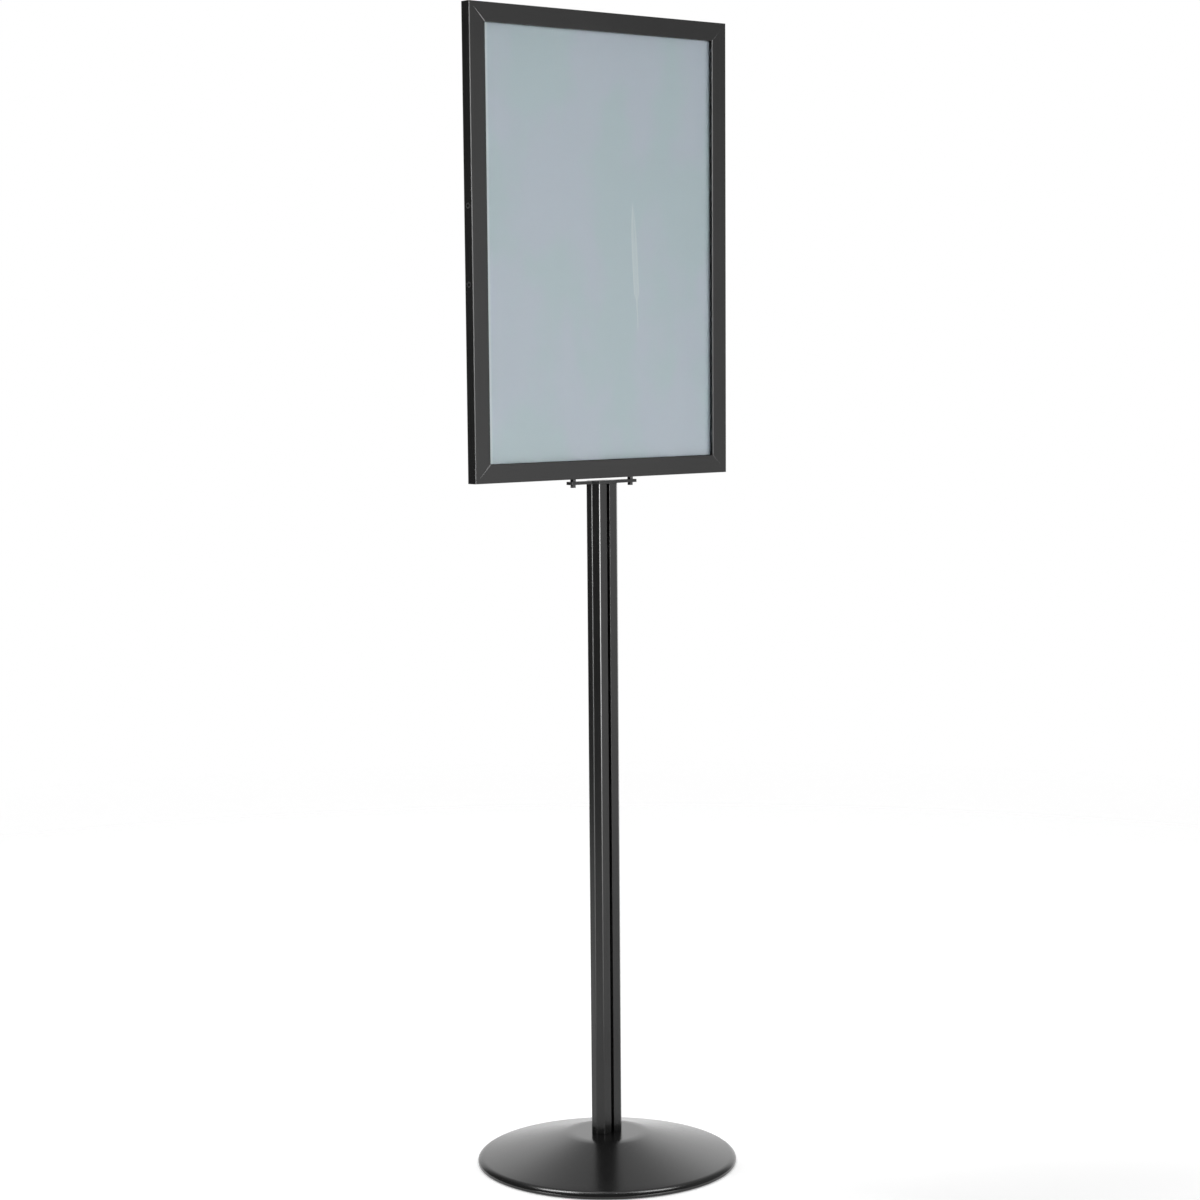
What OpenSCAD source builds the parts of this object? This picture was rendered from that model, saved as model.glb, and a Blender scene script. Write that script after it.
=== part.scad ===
// Floor-standing sign stand: a round weighted base, a slotted post and a double-sided, top-loading sign frame.
// Origin at the centre of the base on the floor, +Z up, the frame's front face towards -Y.

/* [Base] */
// Outer radius of the round base
base_r = 180; // [170:1:200]
// Height of the flat top of the base above the floor
base_h = 42; // [41:0.5:46]
// Radius of the flat top of the base, up to its rounded edge
base_flat_r = 50; // [48:1:56]
// Slope of the base's conical top, in degrees
base_slope = 14.9; // [14.4:0.1:15.2]
// Wall thickness of the pressed steel cover
cover_t = 1.5; // [1.2:0.1:1.6]
// Radius of the cast weight under the cover
weight_r = 150; // [140:1:152]
// Thickness of the cast weight's disc
weight_t = 10; // [8:0.5:10]
// Radius of the hub that carries the post
hub_r = 40; // [30:1:45]
// Radius and thickness of a rubber pad
pad_r = 9; // [6:0.5:12]
// Thickness of a rubber pad
pad_t = 3; // [2:0.5:4]
// Radius of the circle that the pads stand on
pad_circle_r = 139; // [120:1:140]
// Number of pads
pad_count = 6; // [3:1:8]

/* [Post] */
// Width of the post, across the frame
post_w = 45; // [44:0.5:50]
// Depth of the post, front to back
post_d = 26; // [26:0.5:30]
// Chamfer at each long corner of the post
post_chamfer = 7.5; // [6:0.5:8]
// Rounding of the two edges of each chamfer
post_edge_r = 3; // [1:0.5:3]
// Length of the post
post_len = 902; // [500:1:1200]
// Wall thickness of the post
post_wall = 2; // [1.8:0.1:2.2]
// Width of the mouth of each T-slot
slot_w = 5; // [4.5:0.1:6]
// Width of each T-slot behind its lips
slot_inner_w = 11; // [9:0.5:11]
// Depth of each T-slot from the face of the post
slot_depth = 6.5; // [5:0.5:7]
// Distance of each screw port from the centre of the post
port_x = 14; // [13.5:0.5:15]
// Bore radius of each screw port
port_r = 2.9; // [2.5:0.1:3]

/* [Mount plate] */
// Overall length of the plate's two ears
plate_len = 116; // [112:1:130]
// Depth of each ear
ear_d = 12; // [11:0.5:14]
// Thickness of the plate
plate_t = 4; // [3:0.5:5]
// Height of the spacers between the plate and the frame
spacer_h = 3.5; // [2:0.5:5]
// Distance between the two frame screws, and between the two side inserts
screw_pitch = 100; // [90:1:104]

/* [Frame] */
// Outer width of the frame
frame_w = 438; // [300:1:600]
// Outer height of the frame
frame_h = 612; // [400:1:850]
// Width of the frame's face
face_w = 25; // [24:0.5:30]
// Depth of the frame, front to back
frame_d = 17; // [17:0.5:20]
// Rounding of the frame's long edges
frame_edge_r = 1; // [0.4:0.1:1.2]
// Wall thickness of the frame's profile
wall = 1.5; // [1.2:0.1:1.5]
// Width of the groove that the sheets stand in
groove_w = 6; // [6:0.1:6.4]
// Distance from the frame's outer edge to the bottom of the groove
groove_from_edge = 8; // [8:0.1:8.5]

/* [Sheets] */
// Margin between the frame's outer edge and the edge of a sheet
sheet_margin = 9; // [9:0.1:10]
// Thickness of each clear cover sheet
lens_t = 1.8; // [1.5:0.1:1.8]
// Thickness of the film on each cover sheet
film_t = 0.15; // [0.1:0.01:0.2]
// Thickness of the sign card
card_t = 0.6; // [0.3:0.1:0.7]
// Running gap between the front of the groove and the cover sheet
lens_gap = 0.3; // [0.3:0.05:0.4]

/* [Hidden] */
$fn = 64;

over = 1;                       // how far a cutter runs past the face that it cuts
snug = 0.05;                    // radial clearance of a piece in its hole

// Base profile
flat_edge_r = 25;               // rounding between the flat top and the cone
shoulder_r = 14;                // rounding at the foot of the cone
shoulder_end = 50;              // slope in degrees where the shoulder meets the lip
lip_r = 3;                      // rounding of the outer lip
cover_lift = 1;                 // gap between the cover's edge and the floor
hub_top = base_h - cover_t;
weight_top = pad_t + weight_t;
bolt_r = port_r - snug;
bolt_hole_r = port_r + 0.4;
bolt_head_r = 5;
bolt_head_h = 6;
washer_r = 8;
washer_t = 1.6;
bolt_seat_z = weight_top - 1;   // ceiling of the recess for each bolt head
recess_r = 9.5;
thread_len = 22;                // how far a screw runs into the post

// Post
post_z0 = base_h;
post_z1 = post_z0 + post_len;
slot_lip = 2;
port_boss_r = port_r + 1.7;
web_t = 1.8;
core_w = slot_inner_w + 2 * post_wall;

// Plate and screws
plate_z0 = post_z1;
plate_z1 = plate_z0 + plate_t;
csk_r = 5.6;
csk_h = 2.8;
m4_r = 1.95;                    // shank of a frame screw
m4_bore_r = 2;
m4_clear_r = 2.25;
m4_head_r = 3.5;
m4_head_h = 4;
hex_across = 3;
m4_len = 13;
spacer_r = 3.75;

// Frame
frame_z0 = plate_z1 + spacer_h;
frame_z1 = frame_z0 + frame_h;
frame_zc = (frame_z0 + frame_z1) / 2;
half_w = frame_w / 2;
half_d = frame_d / 2;
half_groove = groove_w / 2;
slot_half_len = half_w - groove_from_edge - 0.5;
cell_in = half_groove + wall;   // inner face of each lip's cell
cell_out = half_d - wall;       // outer face of each lip's cell
key_gap = 0.1;
key_leg = 45;
insert_flange_r = 3.8;
insert_flange_h = 0.8;
insert_body_r = 3;
insert_len = 6.3;

// Sheets
sheet_w = frame_w - 2 * sheet_margin;
sheet_h = frame_h - 2 * sheet_margin;
sheet_z0 = frame_z0 + groove_from_edge + 0.5;
lens_y = half_groove - lens_gap;    // outer face of each cover sheet from the mid-plane

// Points of an arc from slope a0 to slope a1, both in degrees, round a centre
function arc(cx, cz, r, a0, a1, n) =
    [for (i = [0:n]) let (a = a0 + (a1 - a0) * i / n) [cx + r * sin(a), cz + r * cos(a)]];

// Centres of the base profile's three roundings
flat_c = [base_flat_r, base_h - flat_edge_r];
lip_cx = base_r - lip_r;
shoulder_cx = lip_cx - (shoulder_r - lip_r) * sin(shoulder_end);
cone_start = [flat_c[0] + flat_edge_r * sin(base_slope), flat_c[1] + flat_edge_r * cos(base_slope)];
cone_end_x = shoulder_cx + shoulder_r * sin(base_slope);
cone_end_z = cone_start[1] - (cone_end_x - cone_start[0]) * tan(base_slope);
shoulder_cz = cone_end_z - shoulder_r * cos(base_slope);
lip_cz = shoulder_cz + (shoulder_r - lip_r) * cos(shoulder_end);

// The base's outer profile, moved inwards by t
function base_profile(t) = concat(
    arc(flat_c[0], flat_c[1], flat_edge_r - t, 0, base_slope, 4),
    arc(shoulder_cx, shoulder_cz, shoulder_r - t, base_slope, shoulder_end, 6),
    arc(lip_cx, lip_cz, lip_r - t, shoulder_end, 90, 5));

module base_half(t, z0) {
    rotate_extrude($fn = 180)
        polygon(concat([[0, z0], [0, base_h - t]], base_profile(t), [[base_r - t, z0]]));
}

module at_ports() {
    for (x = [-port_x, port_x]) translate([x, 0, 0]) children();
}

module at_frame_screws() {
    for (x = [-screw_pitch / 2, screw_pitch / 2]) translate([x, 0, 0]) children();
}

module base_cover() {
    color([0.05, 0.05, 0.05])
    difference() {
        base_half(0, cover_lift);
        base_half(cover_t, cover_lift - over);
        at_ports() cylinder(h = base_h + over, r = bolt_hole_r);
    }
}

module base_weight() {
    color([0.22, 0.22, 0.23])
    difference() {
        union() {
            translate([0, 0, pad_t]) cylinder(h = weight_t, r = weight_r, $fn = 180);
            cylinder_between(weight_top - over, hub_top, hub_r);
        }
        at_ports() {
            cylinder(h = base_h, r = bolt_hole_r);
            cylinder(h = bolt_seat_z, r = recess_r);
        }
    }
}

module cylinder_between(z0, z1, r) {
    translate([0, 0, z0]) cylinder(h = z1 - z0, r = r);
}

module base_pads() {
    color([0.1, 0.1, 0.1])
    for (i = [0:pad_count - 1])
        rotate([0, 0, (i + 0.5) * 360 / pad_count]) translate([pad_circle_r, 0, 0])
            cylinder(h = pad_t, r = pad_r);
}

module base_washers() {
    color([0.75, 0.75, 0.76])
    at_ports() difference() {
        cylinder_between(bolt_seat_z - washer_t, bolt_seat_z, washer_r);
        cylinder(h = base_h, r = bolt_hole_r);
    }
}

module base_bolts() {
    color([0.75, 0.75, 0.76])
    at_ports() difference() {
        union() {
            cylinder_between(bolt_seat_z - washer_t - bolt_head_h, bolt_seat_z - washer_t, bolt_head_r);
            cylinder_between(bolt_seat_z - washer_t - over, post_z0 + thread_len, bolt_r);
        }
        cylinder(h = bolt_seat_z - washer_t - bolt_head_h / 2, r = bolt_head_r / 2, $fn = 6);
    }
}

// A chamfered rectangle with rounded corners: a circle at each corner and flats between them
module post_outline() {
    r = post_edge_r;
    w = post_w / 2 - r;
    d = post_d / 2 - r;
    c = post_chamfer - r * (2 - sqrt(2));
    corners = [[w, d - c], [w - c, d], [c - w, d], [-w, d - c],
               [-w, c - d], [c - w, -d], [w - c, -d], [w, c - d]];
    polygon([for (i = [0:7], a = [45 * i, 45 * (i + 1)]) corners[i] + r * [cos(a), sin(a)]]);
    for (p = corners) translate(p) circle(r = r);
}

// The outline moved inwards by the wall, kept to one side of the core
module post_chamber() {
    w = post_w / 2 - post_wall;
    d = post_d / 2 - post_wall;
    c = post_chamfer - post_wall * (2 - sqrt(2));
    polygon([[core_w / 2, -d], [w - c, -d], [w, -d + c], [w, d - c], [w - c, d], [core_w / 2, d]]);
}

module post_section() {
    face = post_d / 2;
    difference() {
        union() {
            difference() {
                post_outline();
                post_chamber();
                mirror([1, 0]) post_chamber();
            }
            square([post_w - post_wall, web_t], center = true);
            for (x = [-port_x, port_x]) translate([x, 0]) circle(r = port_boss_r);
        }
        for (x = [-port_x, port_x]) translate([x, 0]) circle(r = port_r);
        square([slot_inner_w, post_d - 2 * slot_depth - 2 * post_wall], center = true);
        for (s = [-1, 1]) {
            translate([0, s * (face - slot_lip / 2)]) square([slot_w, slot_lip + over * 0.02], center = true);
            translate([0, s * (face - (slot_lip + slot_depth) / 2)])
                square([slot_inner_w, slot_depth - slot_lip], center = true);
        }
    }
}

module post() {
    color([0.1, 0.1, 0.1])
    translate([0, 0, post_z0]) linear_extrude(post_len) post_section();
}

module mount_plate() {
    color([0.1, 0.1, 0.1])
    difference() {
        translate([0, 0, plate_z0]) linear_extrude(plate_t) {
            post_outline();
            square([plate_len - ear_d / 2, ear_d], center = true);
            square([plate_len, ear_d / 2], center = true);
            for (x = [-1, 1], y = [-1, 1])
                translate([x * (plate_len / 2 - ear_d / 4), y * ear_d / 4]) circle(r = ear_d / 4);
        }
        at_ports() {
            cylinder_between(plate_z0 - over, plate_z1 + over, bolt_r + 0.3);
            translate([0, 0, plate_z1 - csk_h - 0.1]) cylinder(h = csk_h + 0.2, r1 = bolt_r, r2 = csk_r + 0.2);
        }
        at_frame_screws() cylinder_between(plate_z0 - over, plate_z1 + over, m4_clear_r);
    }
}

module post_screws() {
    color([0.15, 0.15, 0.15])
    at_ports() difference() {
        union() {
            translate([0, 0, plate_z1 - csk_h]) cylinder(h = csk_h, r1 = bolt_r, r2 = csk_r);
            cylinder_between(plate_z1 - plate_t - thread_len, plate_z1 - csk_h, bolt_r);
        }
        cylinder_between(plate_z1 - csk_h * 0.7, plate_z1 + over, csk_r / 3, $fn = 6);
    }
}

module spacers() {
    color([0.08, 0.08, 0.08])
    at_frame_screws() difference() {
        cylinder_between(plate_z1, frame_z0, spacer_r);
        cylinder_between(plate_z1 - over, frame_z0 + over, m4_clear_r);
    }
}

module frame_screws() {
    color([0.12, 0.12, 0.12])
    at_frame_screws() difference() {
        union() {
            cylinder_between(plate_z0 - m4_head_h, plate_z0, m4_head_r);
            cylinder_between(plate_z0 - over, plate_z0 + m4_len, m4_r);
        }
        translate([0, 0, plate_z0 - m4_head_h - over])
            cylinder(h = over + m4_head_h / 2, r = hex_across / sqrt(3), $fn = 6);
    }
}

// Outline of the frame's section, with rounded corners
module rounded_face() {
    r = frame_edge_r;
    translate([0, face_w / 2]) {
        square([frame_d - 2 * r, face_w], center = true);
        square([frame_d, face_w - 2 * r], center = true);
        for (x = [-1, 1], y = [-1, 1]) translate([x * (half_d - r), y * (face_w / 2 - r)]) circle(r = r);
    }
}

// Section of the stiles and the bottom rail: the outer edge is at 0 and the sheets come in from above
module closed_section() {
    difference() {
        rounded_face();
        translate([-cell_out, wall]) square([2 * cell_out, groove_from_edge - 2 * wall]);
        translate([-half_groove, groove_from_edge]) square([groove_w, face_w]);
        lip_cells(groove_from_edge);
    }
}

// Section of the top rail: two closed tubes with the loading slot between them
module open_section() {
    difference() {
        rounded_face();
        translate([-half_groove, -over]) square([groove_w, face_w + 2 * over]);
        lip_cells(wall);
    }
}

module lip_cells(from_edge) {
    for (s = [-1, 1]) translate([s * (cell_in + cell_out) / 2, (from_edge + face_w - wall) / 2])
        square([cell_out - cell_in, face_w - wall - from_edge], center = true);
}

// A rail along X with its outer edge at z = 0, mitred at both ends
module mitred(len) {
    intersection() {
        children();
        rotate([90, 0, 0]) linear_extrude(frame_d + 2, center = true)
            polygon([[-len / 2, 0], [len / 2, 0], [len / 2 - face_w, face_w], [-len / 2 + face_w, face_w]]);
    }
}

module along_x(len) {
    translate([-len / 2, 0, 0]) rotate([90, 0, 90]) linear_extrude(len) children();
}

module insert_hole() {
    translate([0, 0, -over]) {
        cylinder(h = over + wall + over, r = insert_body_r + snug);
        cylinder(h = over + insert_flange_h, r = insert_flange_r + snug);
    }
}

module insert() {
    difference() {
        union() {
            cylinder(h = insert_flange_h, r = insert_flange_r);
            cylinder(h = insert_len, r = insert_body_r);
        }
        translate([0, 0, -over]) cylinder(h = insert_len + 2 * over, r = m4_bore_r);
    }
}

// Places a piece that points inwards along +Z on the outer edge of each side of the frame
module on_left() {
    translate([-half_w, 0, frame_zc]) rotate([0, 90, 0]) children();
}

module on_right() {
    translate([half_w, 0, frame_zc]) rotate([0, -90, 0]) children();
}

module left_stile() {
    color([0.11, 0.11, 0.11])
    on_left() difference() {
        mitred(frame_h) along_x(frame_h) closed_section();
        at_frame_screws() insert_hole();
    }
}

module right_stile() {
    color([0.11, 0.11, 0.11])
    on_right() mitred(frame_h) along_x(frame_h) closed_section();
}

module bottom_rail() {
    color([0.11, 0.11, 0.11])
    translate([0, 0, frame_z0]) difference() {
        mitred(frame_w) along_x(frame_w) closed_section();
        at_frame_screws() insert_hole();
    }
}

module top_rail() {
    tie_w = half_w - slot_half_len;
    color([0.11, 0.11, 0.11])
    translate([0, 0, frame_z1]) rotate([0, 180, 0]) mitred(frame_w) union() {
        along_x(frame_w) open_section();
        for (s = [-1, 1]) translate([s * (half_w - tie_w / 2), 0, groove_from_edge / 2])
            cube([tie_w, groove_w + over, groove_from_edge], center = true);
    }
}

module side_inserts() {
    color([0.4, 0.4, 0.42]) on_left() at_frame_screws() insert();
}

module bottom_inserts() {
    color([0.4, 0.4, 0.42]) translate([0, 0, frame_z0]) at_frame_screws() insert();
}

// One flat L-shaped key in each lip cell of the corner at the frame's lower left
module corner_keys() {
    a = groove_from_edge + key_gap;
    b = face_w - wall - key_gap;
    for (s = [-1, 1]) translate([0, s * (cell_in + cell_out) / 2, 0]) rotate([90, 0, 0])
        linear_extrude(cell_out - cell_in - 2 * key_gap, center = true)
            polygon([[a, a], [a + key_leg, a], [a + key_leg, b], [b, b], [b, a + key_leg], [a, a + key_leg]]);
}

module key_at(x_side, z_side) {
    color([0.6, 0.6, 0.62])
    translate([x_side * half_w, 0, z_side > 0 ? frame_z1 : frame_z0])
        mirror([x_side > 0 ? 1 : 0, 0, 0]) mirror([0, 0, z_side > 0 ? 1 : 0]) corner_keys();
}

module top_left_keys() { key_at(-1, 1); }
module top_right_keys() { key_at(1, 1); }
module bottom_left_keys() { key_at(-1, -1); }
module bottom_right_keys() { key_at(1, -1); }

// A sheet whose front face is at y0
module sheet(y0, thickness) {
    translate([-sheet_w / 2, y0, sheet_z0]) cube([sheet_w, thickness, sheet_h]);
}

module front_lens() { color([0.8, 0.85, 0.88, 0.4]) sheet(-lens_y, lens_t); }
module front_film() { color([0.7, 0.76, 0.8, 0.6]) sheet(-lens_y + lens_t, film_t); }
module sign_card() { color([0.78, 0.81, 0.83]) sheet(-card_t / 2, card_t); }
module rear_lens() { color([0.8, 0.85, 0.88, 0.4]) sheet(lens_y - lens_t, lens_t); }
module rear_film() { color([0.7, 0.76, 0.8, 0.6]) sheet(lens_y - lens_t - film_t, film_t); }

base_cover();
base_weight();
base_pads();
base_bolts();
base_washers();
post();
mount_plate();
post_screws();
spacers();
frame_screws();
left_stile();
right_stile();
top_rail();
bottom_rail();
top_left_keys();
top_right_keys();
bottom_left_keys();
bottom_right_keys();
side_inserts();
bottom_inserts();
front_lens();
front_film();
sign_card();
rear_lens();
rear_film();
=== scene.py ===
"""Looks for a floor-standing sign stand: black powder-coated base, black anodised post and frame, clear
sheets with their pale film still on, and a blank card between them.
Metres, +Z up, the frame's front face towards -Y."""

import math

import bmesh
import bpy
from mathutils import Matrix, Vector, noise


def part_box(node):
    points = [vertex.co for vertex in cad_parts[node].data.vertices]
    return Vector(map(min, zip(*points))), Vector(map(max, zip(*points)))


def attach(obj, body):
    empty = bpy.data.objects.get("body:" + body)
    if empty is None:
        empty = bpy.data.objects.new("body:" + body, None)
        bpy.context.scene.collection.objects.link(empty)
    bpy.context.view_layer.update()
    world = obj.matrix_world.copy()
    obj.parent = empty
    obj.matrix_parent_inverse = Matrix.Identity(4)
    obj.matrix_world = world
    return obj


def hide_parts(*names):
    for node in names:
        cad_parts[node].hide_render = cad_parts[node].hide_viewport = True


MM = 0.001
WHITE = (1, 1, 1, 1)

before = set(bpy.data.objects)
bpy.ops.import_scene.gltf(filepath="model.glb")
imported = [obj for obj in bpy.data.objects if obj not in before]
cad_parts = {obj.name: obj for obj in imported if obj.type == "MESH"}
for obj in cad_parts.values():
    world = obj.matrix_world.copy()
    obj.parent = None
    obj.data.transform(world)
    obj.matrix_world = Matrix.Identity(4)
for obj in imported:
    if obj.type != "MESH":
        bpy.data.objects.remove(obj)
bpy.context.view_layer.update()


# ---------------------------------------------------------------- node helpers

class Shader:
    """A material's node tree with short calls for the nodes that the materials below share."""

    def __init__(self, name, colour, roughness, metallic=0.0, specular=0.5):
        self.material = bpy.data.materials.new(name)
        self.material.use_nodes = True
        self.nodes = self.material.node_tree.nodes
        self.links = self.material.node_tree.links
        self.bsdf = self.nodes["Principled BSDF"]
        self.bsdf.inputs["Base Color"].default_value = (*colour, 1)
        self.bsdf.inputs["Roughness"].default_value = roughness
        self.bsdf.inputs["Metallic"].default_value = metallic
        self.bsdf.inputs["Specular IOR Level"].default_value = specular
        coords = self.nodes.new("ShaderNodeTexCoord")
        self.coords = coords.outputs["Object"]
        self.normal = coords.outputs["Normal"]

    def link(self, output, socket):
        self.links.new(output, socket)

    def stretched(self, scale):
        """Object coordinates scaled per axis: a noise becomes lines along the axis with the small scale."""
        mapping = self.nodes.new("ShaderNodeMapping")
        mapping.inputs["Scale"].default_value = scale
        self.link(self.coords, mapping.inputs["Vector"])
        return mapping.outputs["Vector"]

    def noise(self, scale, detail=2.0, coords=None, distortion=0.0):
        node = self.nodes.new("ShaderNodeTexNoise")
        node.inputs["Scale"].default_value = scale
        node.inputs["Detail"].default_value = detail
        node.inputs["Distortion"].default_value = distortion
        self.link(coords or self.coords, node.inputs["Vector"])
        return node.outputs["Fac"]

    def spots(self, scale, size, softness):
        """Sparse round spots: 1 inside size, 0 outside."""
        node = self.nodes.new("ShaderNodeTexVoronoi")
        node.inputs["Scale"].default_value = scale
        self.link(self.coords, node.inputs["Vector"])
        return self.remap(node.outputs["Distance"], (size, size + softness), (1.0, 0.0))

    def remap(self, value, source, target):
        """The value moved from the source range to the target range, and held inside it."""
        node = self.nodes.new("ShaderNodeMapRange")
        for name, number in zip(("From Min", "From Max", "To Min", "To Max"), (*source, *target)):
            node.inputs[name].default_value = number
        self.link(value, node.inputs["Value"])
        return node.outputs["Result"]

    def math(self, operation, a, b):
        node = self.nodes.new("ShaderNodeMath")
        node.operation = operation
        for socket, value in zip(node.inputs, (a, b)):
            if isinstance(value, (int, float)):
                socket.default_value = value
            else:
                self.link(value, socket)
        return node.outputs["Value"]

    def product(self, *values):
        total = values[0]
        for value in values[1:]:
            total = self.math("MULTIPLY", total, value)
        return total

    def xyz(self, vector):
        node = self.nodes.new("ShaderNodeSeparateXYZ")
        self.link(vector, node.inputs[0])
        return node.outputs

    def mix(self, factor, a, b):
        """A colour between a and b. Each is a colour or an earlier mix."""
        colour_a, colour_b, colour_out = 6, 7, 2        # the Mix node's sockets for colours
        node = self.nodes.new("ShaderNodeMix")
        node.data_type = "RGBA"
        self.link(factor, node.inputs["Factor"])
        for socket, value in zip((node.inputs[colour_a], node.inputs[colour_b]), (a, b)):
            if isinstance(value, tuple):
                socket.default_value = (*value, 1)
            else:
                self.link(value, socket)
        return node.outputs[colour_out]

    def colour(self, output):
        self.link(output, self.bsdf.inputs["Base Color"])

    def roughness(self, output):
        self.link(output, self.bsdf.inputs["Roughness"])

    def metallic(self, output):
        self.link(output, self.bsdf.inputs["Metallic"])

    def bump(self, height, strength, distance):
        node = self.nodes.new("ShaderNodeBump")
        node.inputs["Strength"].default_value = strength
        node.inputs["Distance"].default_value = distance
        self.link(height, node.inputs["Height"])
        self.link(node.outputs["Normal"], self.bsdf.inputs["Normal"])


# ---------------------------------------------------------------- materials

def post_edges(s):
    """0 on the post's eight flat directions and 1 halfway round the rounded edges between them, where the
    post gets a painted highlight. Fainter towards the foot, as the highlights on its edges are."""
    reach_z, reach_sheen = (0.1, 0.8), (0.1, 1.0)        # heights in metres, and the strength of the painted highlight at each
    x, y, _ = s.xyz(s.normal)
    squares = s.math("SUBTRACT", s.math("MULTIPLY", x, x), s.math("MULTIPLY", y, y))
    reach = s.remap(s.xyz(s.coords)[2], reach_z, reach_sheen)
    # 4xy(x2 - y2) of a level normal is the sine of four times its angle.
    return s.math("MULTIPLY", reach, s.math("ABSOLUTE", s.product(x, y, squares, 4.0), 0))


def stile_edges(s):
    """0 on the flat faces of the frame's upright pieces and 1 halfway round the edges between them, where
    they get a painted highlight.
    """
    x, y, _ = s.xyz(s.normal)
    return s.math("MULTIPLY", s.math("ABSOLUTE", s.math("MULTIPLY", x, y), 0), 2.0)


def mitre_seam(s):
    """1 along a hairline of bare metal in the mitres, where a point is equally far from the side
    and from the end of the frame. It is widest towards the top left corner, a painted highlight of that
    mitre's edge, and closes at the outer edge."""
    widest = 0.34 * MM
    # How wide the hairline is at the right and at the bottom, against the top left: the widening at the top
    # left is painted highlight.
    at_right, at_bottom = 0.15, 0.5
    closed_to, open_from = 6 * MM, 20 * MM
    low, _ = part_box("bottom_rail")
    _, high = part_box("top_rail")
    x, _, z = s.xyz(s.coords)
    from_side = s.math("SUBTRACT", high.x, s.math("ABSOLUTE", x, 0))
    from_end = s.math("MINIMUM", s.math("SUBTRACT", z, low.z), s.math("SUBTRACT", high.z, z))
    away = s.math("ABSOLUTE", s.math("SUBTRACT", from_side, from_end), 0)
    gap = s.product(
        s.remap(x, (-high.x, high.x), (1.0, at_right)),
        s.remap(z, (low.z, high.z), (at_bottom, 1.0)),
        s.remap(from_side, (closed_to, open_from), (0.0, 1.0)),
        widest)
    return s.math("LESS_THAN", away, gap)


def extruded_black(name, along, edges=None, edge_sheen=0.0, seam=None):
    """Satin black anodised aluminium with faint die lines along the extrusion. The chosen edges are painted
    pale and metallic, a painted highlight along them, and a seam can add a hairline of bare metal."""
    dye, deep_dye, thin_dye = (0.012,) * 3, (0.012 * 0.85,) * 3, (0.012 * 1.2, 0.012 * 1.2, 0.012 * 1.17)
    edge_sheen_colour, bare_metal_and_sheen = (0.4, 0.4, 0.4), (0.8, 0.8, 0.81)
    line_stretch = 0.004
    stretch = [1.0, 1.0, 1.0]
    stretch["XYZ".index(along)] = line_stretch
    s = Shader(name, dye, 0.2)
    die_lines = s.noise(scale=1400, detail=3, coords=s.stretched(stretch))
    grain = s.noise(scale=2600, detail=2)
    cloud = s.noise(scale=9, detail=4)
    paint = s.mix(s.remap(cloud, (0.35, 0.65), (0, 1)), deep_dye, thin_dye)
    marks = []
    # Painted highlight: the edge mask mixes the dye towards a pale metal colour, so that the edges shine.
    if edges:
        marks.append((s.remap(edges(s), (0.15, 0.85), (0.0, edge_sheen)), edge_sheen_colour))
    if seam:
        marks.append((seam(s), bare_metal_and_sheen))
    for mask, metal in marks:
        paint = s.mix(mask, paint, metal)
    if len(marks) > 1:
        s.metallic(s.math("MAXIMUM", marks[0][0], marks[1][0]))
    elif marks:
        s.metallic(marks[0][0])
    s.colour(paint)
    s.roughness(s.math("ADD", s.remap(cloud, (0.3, 0.7), (0.165, 0.19)),
                       s.remap(die_lines, (0.3, 0.7), (-0.02, 0.03))))
    relief = s.math("ADD", die_lines, s.math("MULTIPLY", grain, 0.5))
    s.bump(relief, strength=0.12, distance=0.05 * MM)
    return s.material


def powder_coat(name, grey=0.008, roughness=0.2):
    """Semi-gloss black powder coat: fine orange peel, slightly uneven gloss and a few specks of dust."""
    coat, dusty = (grey,) * 3, (0.06, 0.06, 0.058)
    s = Shader(name, coat, roughness)
    peel = s.noise(scale=520, detail=2)
    cloud = s.noise(scale=6, detail=3)
    dust = s.spots(scale=140, size=0.035, softness=0.02)
    s.colour(s.mix(dust, coat, dusty))
    gloss = s.remap(cloud, (0.3, 0.7), (roughness - 0.03, roughness + 0.04))
    s.roughness(s.math("ADD", gloss, s.math("MULTIPLY", dust, 0.25)))
    s.bump(peel, strength=0.06, distance=0.2 * MM)
    return s.material


def cast_iron(name):
    """Rough cast iron, dark in the hollows and brownish on the high spots."""
    iron, dark, brown = (0.07, 0.07, 0.072), (0.05, 0.05, 0.052), (0.11, 0.095, 0.085)
    s = Shader(name, iron, 0.7, metallic=0.6)
    coarse = s.noise(scale=160, detail=5)
    pits = s.noise(scale=900, detail=3)
    s.colour(s.mix(s.remap(coarse, (0.4, 0.7), (0, 1)), dark, brown))
    s.roughness(s.remap(pits, (0.3, 0.7), (0.6, 0.85)))
    s.bump(s.math("ADD", coarse, s.math("MULTIPLY", pits, 0.4)), strength=0.6, distance=0.6 * MM)
    return s.material


def rubber(name):
    """Matt black rubber with a fine grain."""
    black, dark, light = (0.02, 0.02, 0.02), (0.016,) * 3, (0.028,) * 3
    s = Shader(name, black, 0.75, specular=0.3)
    fine = s.noise(scale=1500, detail=3)
    s.colour(s.mix(s.remap(fine, (0.3, 0.7), (0, 1)), dark, light))
    s.bump(fine, strength=0.2, distance=0.1 * MM)
    return s.material


def plated_steel(name, colour, roughness, tint):
    """Bare or plated metal with fine level tool marks, clouded between two colours."""
    s = Shader(name, colour, roughness, metallic=1.0)
    tool_marks = s.noise(scale=900, detail=3, coords=s.stretched((1, 1, 9)))
    cloud = s.noise(scale=300, detail=2)
    s.colour(s.mix(s.remap(cloud, (0.35, 0.65), (0, 1)), colour, tint))
    s.roughness(s.remap(tool_marks, (0.3, 0.7), (roughness - 0.08, roughness + 0.1)))
    s.bump(tool_marks, strength=0.15, distance=0.05 * MM)
    return s.material


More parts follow.
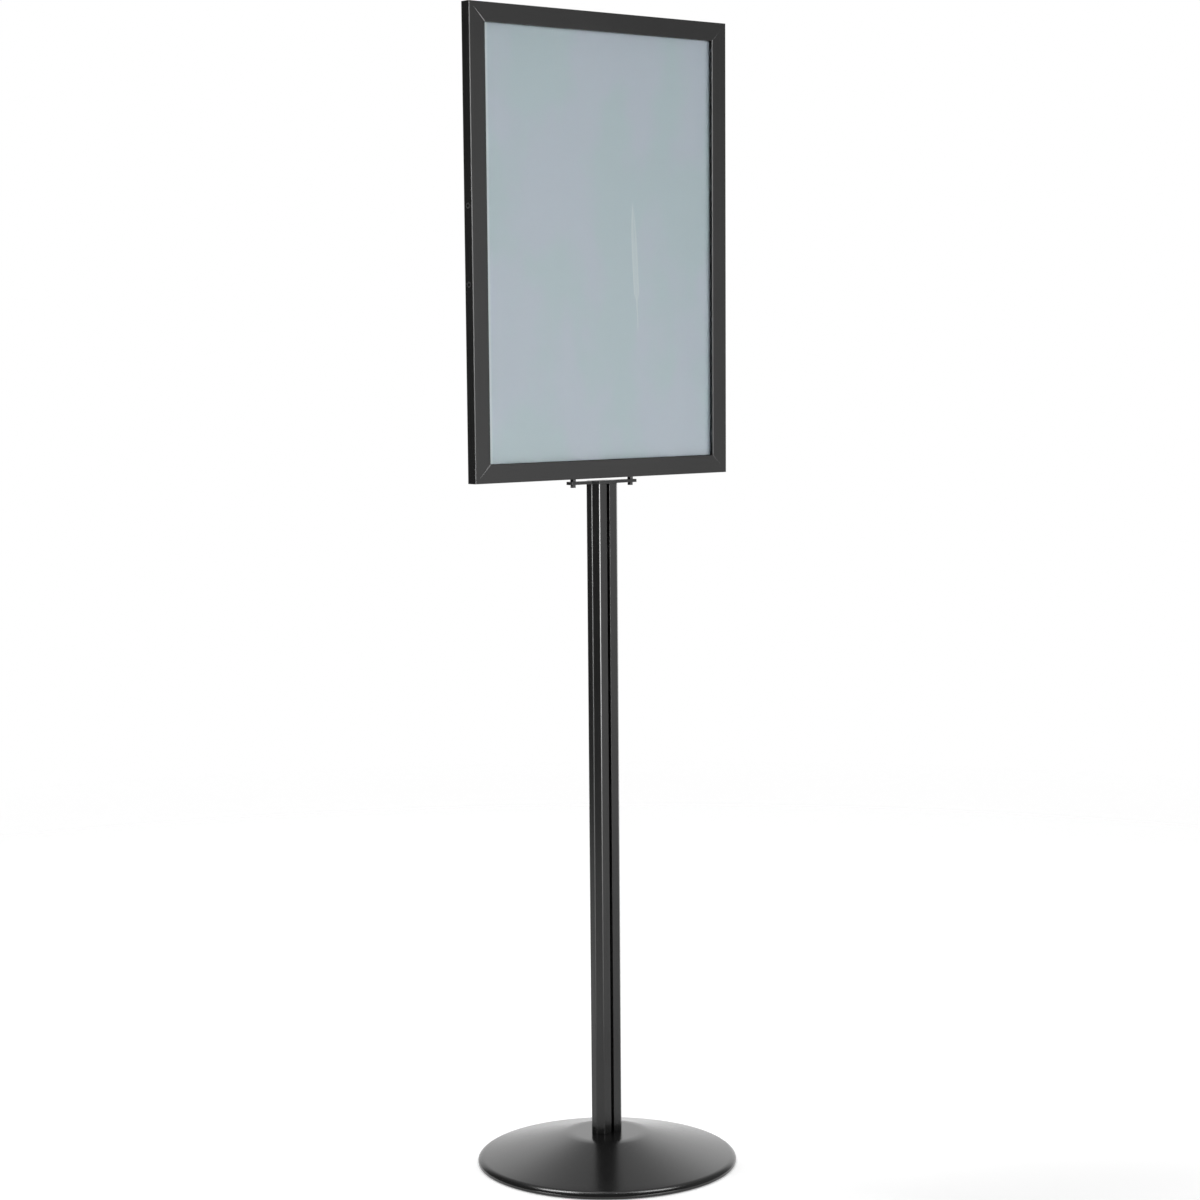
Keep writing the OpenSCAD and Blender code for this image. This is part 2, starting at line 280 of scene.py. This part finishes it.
def clear_sheet(name):
    """Clear acrylic with the faintest waviness and haze."""
    s = Shader(name, (0.93, 0.965, 0.975), 0.015)
    s.bsdf.inputs["Transmission Weight"].default_value = 1.0
    s.bsdf.inputs["IOR"].default_value = 1.49
    s.bump(s.noise(scale=14, detail=1), strength=0.02, distance=0.5 * MM)
    return s.material


def milky_film(name):
    """Pale protective film: broad greenish and violet patches, faint stretch lines, and painted paler where
    it
    has lifted: a painted highlight on the blister and the loose strip."""
    greenish, violet = (0.66, 0.765, 0.795), (0.705, 0.755, 0.83)
    stretched, away = (0.76, 0.82, 0.85), (0.84, 0.9, 0.91)
    s = Shader(name, (0.58, 0.64, 0.68), 0.3)
    patches = s.noise(scale=7, detail=4, coords=s.stretched((1.5, 1, 0.8)))
    stretch = s.noise(scale=60, detail=2, coords=s.stretched((1, 1, 0.05)))
    loose = s.nodes.new("ShaderNodeAttribute")
    loose.attribute_name = "lifted"
    pale = s.mix(s.remap(patches, (0.44, 0.56), (0, 1)), greenish, violet)
    lined = s.mix(s.remap(stretch, (0.4, 0.75), (0, 0.12)), pale, stretched)
    # Painted highlight: the film's colour goes paler with the lift stored on its mesh.
    s.colour(s.mix(s.remap(loose.outputs["Fac"], (0, 1), (0, 1)), lined, away))
    waves = s.math("ADD", s.noise(scale=25, detail=2), s.math("MULTIPLY", stretch, 0.3))
    s.bump(waves, strength=0.08, distance=0.3 * MM)
    return s.material


def blank_card(name):
    """Uncoated pale card with fine fibres."""
    card, dark, light = (0.6, 0.63, 0.65), (0.56, 0.6, 0.62), (0.66, 0.69, 0.7)
    s = Shader(name, card, 0.8, specular=0.25)
    fibres = s.noise(scale=700, detail=4, coords=s.stretched((1, 1, 0.3)), distortion=0.6)
    s.colour(s.mix(s.remap(fibres, (0.3, 0.7), (0, 1)), dark, light))
    s.bump(fibres, strength=0.15, distance=0.08 * MM)
    return s.material


def pale_floor(name, full_to, gone_at):
    """Pale, faintly glowing floor that fades into the backdrop between two distances from the stand, so no
    horizon shows."""
    pale, paler = (0.86,) * 3, (0.89,) * 3
    s = Shader(name, pale, 0.6, specular=0.3)
    s.bsdf.inputs["Emission Color"].default_value = WHITE
    s.bsdf.inputs["Emission Strength"].default_value = 0.33
    s.colour(s.mix(s.noise(scale=1.3, detail=2), pale, paler))
    reach = s.nodes.new("ShaderNodeVectorMath")
    reach.operation = "LENGTH"
    s.link(s.coords, reach.inputs[0])
    s.link(s.remap(reach.outputs["Value"], (full_to, gone_at), (1, 0)), s.bsdf.inputs["Alpha"])
    return s.material


# ---------------------------------------------------------------- helpers for CAD nodes and new pieces

def dress(node, material):
    """Gives a CAD node its finish."""
    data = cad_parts[node].data
    data.materials.clear()
    data.materials.append(material)


def soften(node, width):
    """Eases a CAD node's sharp edges, with modifiers, so that its own mesh is unchanged."""
    sharp_from = math.radians(30)
    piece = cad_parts[node]
    weld = piece.modifiers.new("weld", "WELD")
    weld.merge_threshold = 0.01 * MM
    bevel = piece.modifiers.new("ease", "BEVEL")
    bevel.limit_method = "ANGLE"
    bevel.angle_limit = sharp_from
    bevel.width = width
    bevel.segments = 2
    for polygon in piece.data.polygons:
        polygon.use_smooth = True
    normals = piece.modifiers.new("flat_faces", "WEIGHTED_NORMAL")
    normals.weight = 60


def new_piece(name, mesh, body, material, replaced):
    """Puts a mesh in the scene on a body, in place of a CAD node."""
    piece = bpy.data.objects.new(name, mesh)
    bpy.context.scene.collection.objects.link(piece)
    mesh.materials.append(material)
    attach(piece, body)
    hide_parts(replaced)
    return piece


def lines(low, high, step, fine=()):
    """Grid lines from low to high about a step apart, to the micrometre, with closer ones inside each fine
    band (from, to, step)."""
    count = max(1, round((high - low) / step))
    marks = {round(low + (high - low) * i / count, 6) for i in range(count + 1)}
    for start, end, pitch in fine:
        marks = {m for m in marks if not start - step / 3 < m < end + step / 3 or m in (low, high)}
        marks |= {round(start + pitch * i, 6) for i in range(round((end - start) / pitch) + 1)}
    return sorted(marks)


def sheet_mesh(name, xs, zs, front, back):
    """A thin closed sheet over the grid lines xs and zs. front(x, z) and back(x, z) give the y of its two
    faces."""
    bm = bmesh.new()
    near, far = ([[bm.verts.new((x, depth(x, z), z)) for z in zs] for x in xs]
                 for depth in (front, back))
    for i in range(len(xs) - 1):
        for j in range(len(zs) - 1):
            bm.faces.new((near[i][j], near[i + 1][j], near[i + 1][j + 1], near[i][j + 1]))
            bm.faces.new((far[i][j], far[i][j + 1], far[i + 1][j + 1], far[i + 1][j]))
    for j in range(len(zs) - 1):
        bm.faces.new((near[0][j], near[0][j + 1], far[0][j + 1], far[0][j]))
        bm.faces.new((near[-1][j], far[-1][j], far[-1][j + 1], near[-1][j + 1]))
    for i in range(len(xs) - 1):
        bm.faces.new((near[i][0], far[i][0], far[i + 1][0], near[i + 1][0]))
        bm.faces.new((near[i][-1], near[i + 1][-1], far[i + 1][-1], far[i][-1]))
    mesh = bpy.data.meshes.new(name)
    bm.to_mesh(mesh)
    bm.free()
    return mesh


# ---------------------------------------------------------------- the base cover

def base_cover():
    """The pressed cover, turned with a fine surface from nearly the outline of its CAD solid: a flat top, a
    shallow cone, a rounded shoulder and a lip. Only the edge of the flat top is rounder."""
    low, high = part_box("base_cover")
    radius, top, edge = high.x, high.z, low.z
    thick, hem = 1.5 * MM, 0.5 * MM
    slope, shoulder_end = math.radians(14.9), math.radians(50)
    flat_edge, shoulder, lip = 60 * MM, 14 * MM, 3 * MM     # radii of the three roundings
    bend_r = 53.3 * MM                                      # where the flat top's plane meets the cone
    cone_steps, fine_steps, coarse_steps, sides = 12, 12, 8, 256
    port_x, hole_r = 14 * MM, 3.3 * MM                      # the holes for the two base bolts

    flat_r = bend_r - flat_edge * math.tan(slope / 2)
    lip_x = radius - lip
    shoulder_x = lip_x - (shoulder - lip) * math.sin(shoulder_end)
    cone_x0, cone_z0 = flat_r + flat_edge * math.sin(slope), top - flat_edge * (1 - math.cos(slope))
    cone_x1 = shoulder_x + shoulder * math.sin(slope)
    cone_z1 = cone_z0 - (cone_x1 - cone_x0) * math.tan(slope)
    shoulder_z = cone_z1 - shoulder * math.cos(slope)
    lip_z = shoulder_z + (shoulder - lip) * math.cos(shoulder_end)

    def arc(x, z, r, a0, a1, steps):
        angles = [a0 + (a1 - a0) * i / steps for i in range(steps + 1)]
        return [(x + r * math.sin(a), z + r * math.cos(a)) for a in angles]

    def outline(inset):
        cone = [(cone_x0 + (cone_x1 - cone_x0) * i / cone_steps - inset * math.sin(slope),
                 cone_z0 + (cone_z1 - cone_z0) * i / cone_steps - inset * math.cos(slope))
                for i in range(1, cone_steps)]
        return (arc(flat_r, top - flat_edge, flat_edge - inset, 0, slope, coarse_steps) + cone
                + arc(shoulder_x, shoulder_z, shoulder - inset, slope, shoulder_end, fine_steps)
                + arc(lip_x, lip_z, lip - inset, shoulder_end, math.pi / 2, coarse_steps))

    flats = [(r * MM, top) for r in (2, 20, 36)]
    foot = [(radius, edge + hem), (radius - hem * 0.4, edge),
            (radius - thick + hem * 0.4, edge), (radius - thick, edge + hem)]
    inside = outline(thick)[::-1] + [(x, z - thick) for x, z in flats[::-1]]
    profile = [(0, top)] + flats + outline(0) + foot + inside + [(0, top - thick)]
    mesh = turned("base_cover_paint", profile, sides)
    paint = powder_coat("black_powder_coat")
    piece = new_piece("base_cover_paint", mesh, "stand", paint, "base_cover")
    drill(piece, [(-port_x, 0), (port_x, 0)], hole_r)


def drill(piece, places, radius):
    """Cuts upright round holes right through a piece, and cleans up the edges that the cut leaves without
    length."""
    segments, depth, no_length = 32, 1.0, 0.002 * MM
    bm = bmesh.new()
    for x, y in places:
        bmesh.ops.create_cone(bm, cap_ends=True, segments=segments, radius1=radius, radius2=radius,
                              depth=depth, matrix=Matrix.Translation((x, y, 0)))
    mesh = bpy.data.meshes.new("drill")
    bm.to_mesh(mesh)
    bm.free()
    cutter = bpy.data.objects.new("drill", mesh)
    bpy.context.scene.collection.objects.link(cutter)
    cut = piece.modifiers.new("holes", "BOOLEAN")
    cut.operation = "DIFFERENCE"
    cut.solver = "EXACT"
    cut.object = cutter
    whole = piece.data
    evaluated = piece.evaluated_get(bpy.context.evaluated_depsgraph_get())
    piece.data = bpy.data.meshes.new_from_object(evaluated)
    piece.data.name = whole.name
    piece.modifiers.clear()
    bpy.data.objects.remove(cutter)
    bm = bmesh.new()
    bm.from_mesh(piece.data)
    bmesh.ops.dissolve_degenerate(bm, edges=bm.edges, dist=no_length)
    bm.to_mesh(piece.data)
    bm.free()


def turned(name, profile, sides):
    """A closed solid of revolution round Z. The profile's first and last points lie on the axis."""
    bm = bmesh.new()
    rings = []
    for r, z in profile:
        if r == 0:
            rings.append([bm.verts.new((0, 0, z))])
        else:
            turn = [2 * math.pi * k / sides for k in range(sides)]
            rings.append([bm.verts.new((r * math.cos(a), r * math.sin(a), z)) for a in turn])
    for upper, lower in zip(rings, rings[1:]):
        for k in range(sides):
            n = (k + 1) % sides
            if len(upper) == 1:
                bm.faces.new((upper[0], lower[k], lower[n]))
            elif len(lower) == 1:
                bm.faces.new((upper[k], lower[0], upper[n]))
            else:
                bm.faces.new((upper[k], lower[k], lower[n], upper[n]))
    bmesh.ops.recalc_face_normals(bm, faces=bm.faces)
    for f in bm.faces:
        f.smooth = True
    mesh = bpy.data.meshes.new(name)
    bm.to_mesh(mesh)
    bm.free()
    return mesh


# ---------------------------------------------------------------- the sheets

def clear_cover(side, body, material):
    """One clear sheet, with its edges eased."""
    low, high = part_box(f"{side}_lens")
    mesh = sheet_mesh(f"{side}_clear_sheet", [low.x, high.x], [low.z, high.z],
                      lambda x, z: low.y, lambda x, z: high.y)
    piece = new_piece(f"{side}_clear_sheet", mesh, body, material, f"{side}_lens")
    bevel = piece.modifiers.new("eased_edges", "BEVEL")
    bevel.width = 0.3 * MM
    bevel.segments = 2
    bevel.limit_method = "ANGLE"


# The blister in the film, from its foot to its head, seen from the film's side of the stand:
# height, middle and half width in mm.
BLISTER = ((1148, 64.7, 0.5), (1190, 62.6, 1.4), (1197, 62.2, 4.6), (1240, 60.0, 5.0),
           (1275, 58.0, 4.4), (1292, 57.2, 3.4), (1318, 55.9, 0.6))
SLIT_FROM, SLIT_RAMP = 1262, 12      # mm: height from which a slit runs up the blister, and its run-in
EDGE_LIFT, EDGE_RAMP = 24.6, 1.2     # mm: width of the loose strip along the film's left edge
STRIP, BUBBLE, RIDGE, SLIT = 0.9, 0.55, 0.35, 0.5     # how far each part has lifted, against all the way


def between(table, key):
    """The table's row at a key, interpolated, or None outside the table."""
    for first, last in zip(table, table[1:]):
        if first[0] <= key <= last[0]:
            t = (key - first[0]) / (last[0] - first[0])
            return [p + (q - p) * t for p, q in zip(first[1:], last[1:])]
    return None


def smooth(value, low, high):
    t = min(1.0, max(0.0, (value - low) / (high - low)))
    return t * t * (3 - 2 * t)


def lifted(x, z, left):
    """How far the film has come away from its sheet at a point, from 0 to 1. x, z and the film's left edge
    are in metres."""
    edge_soft, ridge_in, ridge_soft, slit_soft = 0.6, 1.2, (0.3, 1.3), (0.2, 1.0)     # mm
    slit_at = 0.35                                      # of the half width, right of the middle
    strip = STRIP * (1 - smooth((x - left) / MM, EDGE_LIFT - EDGE_RAMP, EDGE_LIFT))
    row = between(BLISTER, z / MM)
    if row is None:
        return strip
    middle, half = row
    across = x / MM - middle
    inside = 1 - smooth(abs(across), half - edge_soft, half + edge_soft)
    ridge = 1 - smooth(abs(abs(across) - max(half - ridge_in, 0)), *ridge_soft)
    slit = (smooth(z / MM, SLIT_FROM, SLIT_FROM + SLIT_RAMP)
            * (1 - smooth(abs(across - slit_at * half), *slit_soft)))
    return max(strip, inside * (BUBBLE + RIDGE * ridge - SLIT * slit))


def protective_film(side, body, material):
    """The film on a clear sheet's inner face, slightly rippled, with a long narrow blister and one loose
    edge. The rear film has lifted where the front one has, turned round."""
    off_sheet, thin, rise, ripple_height = 0.06 * MM, 0.08 * MM, 0.2 * MM, 0.015 * MM
    ripples_x, ripples_z = 14, 6                        # noise scales, per metre
    step_x, step_z = 6 * MM, 9 * MM
    low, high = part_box(f"{side}_film")
    inwards = 1 if side == "front" else -1
    stuck = (low.y if side == "front" else high.y) + inwards * off_sheet
    strip_xs = (low.x + 22 * MM, low.x + 28 * MM, 1 * MM)
    blister_xs = (48 * MM, 72 * MM, 0.6 * MM)
    blister_zs = (1140 * MM, 1326 * MM, 3 * MM)
    xs = lines(low.x, high.x, step_x, (strip_xs, blister_xs))
    zs = lines(low.z, high.z, step_z, (blister_zs,))

    def near(x, z):
        ripple = ripple_height * (1 + noise.noise(Vector((x * ripples_x, 0, z * ripples_z))))
        return stuck + inwards * (ripple + rise * lifted(inwards * x, z, low.x))

    def far(x, z):
        return near(x, z) + inwards * thin

    faces = (near, far) if side == "front" else (far, near)
    if side == "rear":
        xs = [-x for x in reversed(xs)]
    mesh = sheet_mesh(f"{side}_milky_film", xs, zs, *faces)
    # The lift is stored for the film's material, which paints it as a paler highlight.
    loose = mesh.attributes.new("lifted", "FLOAT", "POINT")
    for vertex in mesh.vertices:
        loose.data[vertex.index].value = lifted(inwards * vertex.co.x, vertex.co.z, low.x)
    for polygon in mesh.polygons:
        polygon.use_smooth = True
    new_piece(f"{side}_milky_film", mesh, body, material, f"{side}_film")


def sign_card():
    """The blank card, very slightly bowed between the clear sheets."""
    bow_height, inset, step = 0.05 * MM, 0.06 * MM, 12 * MM
    bows_x, bows_z, layer = 5, 4, 3                     # noise scales per metre, and a slice of the noise
    low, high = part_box("sign_card")

    def bow(x, z):
        return bow_height * noise.noise(Vector((x * bows_x, layer, z * bows_z)))

    mesh = sheet_mesh("blank_sign_card", lines(low.x, high.x, step), lines(low.z, high.z, step),
                      lambda x, z: low.y + inset + bow(x, z), lambda x, z: high.y - inset + bow(x, z))
    for polygon in mesh.polygons:
        polygon.use_smooth = True
    new_piece("blank_sign_card", mesh, "card", blank_card("pale_card"), "sign_card")


# ---------------------------------------------------------------- floor, light and camera

def studio_floor():
    """A round floor sheet. It ends where its paint has faded away."""
    full_to, gone_at, sides = 1.0, 3.6, 96
    mesh = turned("studio_floor", [(0, 0.0), (full_to, 0.0), (gone_at, 0.0)], sides)
    floor = bpy.data.objects.new("studio_floor", mesh)
    bpy.context.scene.collection.objects.link(floor)
    mesh.materials.append(pale_floor("pale_floor_paint", full_to, gone_at))


def softbox(name, place, size, watts):
    """A rectangular lamp that faces the foot of the stand."""
    light = bpy.data.lights.new(name, "AREA")
    light.shape = "RECTANGLE"
    light.size, light.size_y = size
    light.energy = watts
    lamp = bpy.data.objects.new(name, light)
    bpy.context.scene.collection.objects.link(lamp)
    lamp.location = place
    lamp.rotation_euler = (-Vector(place)).to_track_quat("-Z", "Y").to_euler()


def bearing(turn, rise):
    """A direction: turn is in degrees anticlockwise from +X, rise is in degrees above the floor."""
    turn, rise = math.radians(turn), math.radians(rise)
    return Vector((math.cos(turn) * math.cos(rise), math.sin(turn) * math.cos(rise), math.sin(rise)))


def studio_world(base, backdrop, lobes):
    """A dim room with soft bright lobes of light, and a plain white backdrop all round for the camera. Each
    lobe is a direction, the angles from it where its light ends and where it is full, and a strength."""
    world = bpy.data.worlds.new("studio")
    bpy.context.scene.world = world
    world.use_nodes = True
    nodes, links = world.node_tree.nodes, world.node_tree.links
    background = nodes["Background"]
    coords = nodes.new("ShaderNodeTexCoord").outputs["Generated"]
    total = None
    for direction, outer, inner, strength in lobes:
        dot = nodes.new("ShaderNodeVectorMath")
        dot.operation = "DOT_PRODUCT"
        links.new(coords, dot.inputs[0])
        dot.inputs[1].default_value = direction
        ramp = nodes.new("ShaderNodeMapRange")
        ramp.interpolation_type = "SMOOTHSTEP"
        cosines = [math.cos(math.radians(angle)) for angle in (outer, inner)]
        for name, number in zip(("From Min", "From Max", "To Min", "To Max"), (*cosines, 0, strength)):
            ramp.inputs[name].default_value = number
        links.new(dot.outputs["Value"], ramp.inputs["Value"])
        add = nodes.new("ShaderNodeMath")
        add.operation = "ADD"
        add.inputs[1].default_value = base if total is None else 0
        links.new(ramp.outputs["Result"], add.inputs[0])
        if total is not None:
            links.new(total, add.inputs[1])
        total = add.outputs["Value"]
    sweep = nodes.new("ShaderNodeMix")
    links.new(nodes.new("ShaderNodeLightPath").outputs["Is Camera Ray"], sweep.inputs["Factor"])
    links.new(total, sweep.inputs["A"])
    sweep.inputs["B"].default_value = backdrop
    links.new(sweep.outputs["Result"], background.inputs["Strength"])
    background.inputs["Color"].default_value = WHITE


def camera():
    """Level with the frame's lower half, to the left of the sign, looking slightly down. The numbers come
    from a camera fitted to the stand's outline in the photo."""
    place = (-2.3076, -2.7932, 1.1336)
    yaw, pitch, roll = (math.radians(a) for a in (39.483, 7.87, 0.461))
    data = bpy.data.cameras.new("camera")
    data.sensor_width = 36
    data.lens = 80.28
    data.shift_y = 0.093
    data.clip_end = 100
    eye = bpy.data.objects.new("camera", data)
    bpy.context.scene.collection.objects.link(eye)
    eye.location = place
    turn = Matrix.Rotation(-yaw, 4, "Z") @ Matrix.Rotation(math.pi / 2 - pitch, 4, "X")
    eye.rotation_euler = (turn @ Matrix.Rotation(-roll, 4, "Z")).to_euler()
    bpy.context.scene.camera = eye


# ---------------------------------------------------------------- build

def build():
    camera()
    studio_floor()

    # The upright pieces and the post get a painted highlight along their rounded edges.
    upright = extruded_black("black_frame_upright", "Z", edges=stile_edges, edge_sheen=0.45, seam=mitre_seam)
    level = extruded_black("black_frame_level", "X", seam=mitre_seam)
    post = extruded_black("black_post", "Z", edges=post_edges, edge_sheen=0.7)
    plate = powder_coat("black_plate_coat", grey=0.02, roughness=0.38)
    oxide = plated_steel("black_oxide_steel", (0.05, 0.05, 0.052), 0.38, (0.075, 0.073, 0.07))
    zinc = plated_steel("zinc_plated_steel", (0.62, 0.63, 0.64), 0.3, (0.55, 0.55, 0.5))
    insert = plated_steel("dark_insert_steel", (0.3, 0.3, 0.31), 0.3, (0.36, 0.36, 0.36))
    keys = plated_steel("mill_aluminium", (0.6, 0.6, 0.62), 0.35, (0.5, 0.5, 0.53))
    for nodes, material in (
        (("left_stile", "right_stile"), upright),
        (("top_rail", "bottom_rail"), level),
        (("post",), post),
        (("mount_plate",), plate),
        (("spacers", "frame_screws", "post_screws"), oxide),
        (("base_bolts", "base_washers"), zinc),
        (("side_inserts", "bottom_inserts"), insert),
        (("top_left_keys", "top_right_keys", "bottom_left_keys", "bottom_right_keys"), keys),
        (("base_weight",), cast_iron("rough_cast_iron")),
        (("base_pads",), rubber("black_rubber")),
    ):
        for node in nodes:
            dress(node, material)

    for width, nodes in (
        (0.25 * MM, ("left_stile", "right_stile", "top_rail", "bottom_rail", "post")),
        (0.3 * MM, ("mount_plate", "spacers", "frame_screws", "post_screws", "base_bolts", "base_washers")),
        (1.0 * MM, ("base_weight", "base_pads")),
    ):
        for node in nodes:
            soften(node, width)

    base_cover()
    acrylic = clear_sheet("clear_acrylic_sheet")
    film = milky_film("pale_film")
    for side, body in (("front", "front_cover"), ("rear", "rear_cover")):
        clear_cover(side, body, acrylic)
        protective_film(side, body, film)
    sign_card()

    # Three lamps just beyond the zenith, which the base's lip mirrors to the camera.
    softbox("overhead", place=(0.49, 0.6, 4.8), size=(4.4, 1.0), watts=45)
    softbox("overhead_left", place=(-1.23, 1.56, 4.8), size=(1.0, 1.6), watts=75)
    softbox("overhead_right", place=(1.76, -0.91, 4.8), size=(1.0, 1.6), watts=40)
    studio_world(base=0.1, backdrop=1.0, lobes=[
        (bearing(50.5, 2), 48, 28, 1.0),        # straight behind the stand, seen from the camera
        (bearing(50.5, 45), 40, 15, 0.36),      # high behind it
        (bearing(298, -6), 23, 2, 1.2),         # front right, low
        (bearing(178, 7), 14, 5, 8.0),          # left, for the post's edges
        (bearing(264, 0), 16, 6, 5.0),          # front, for the post's edges
        (bearing(280, 8), 18, 7, 4.0),          # front, a little to the right
        (bearing(355, 10), 60, 30, 0.2),        # right, faint
    ])
    bpy.context.scene.view_settings.view_transform = "Standard"


build()
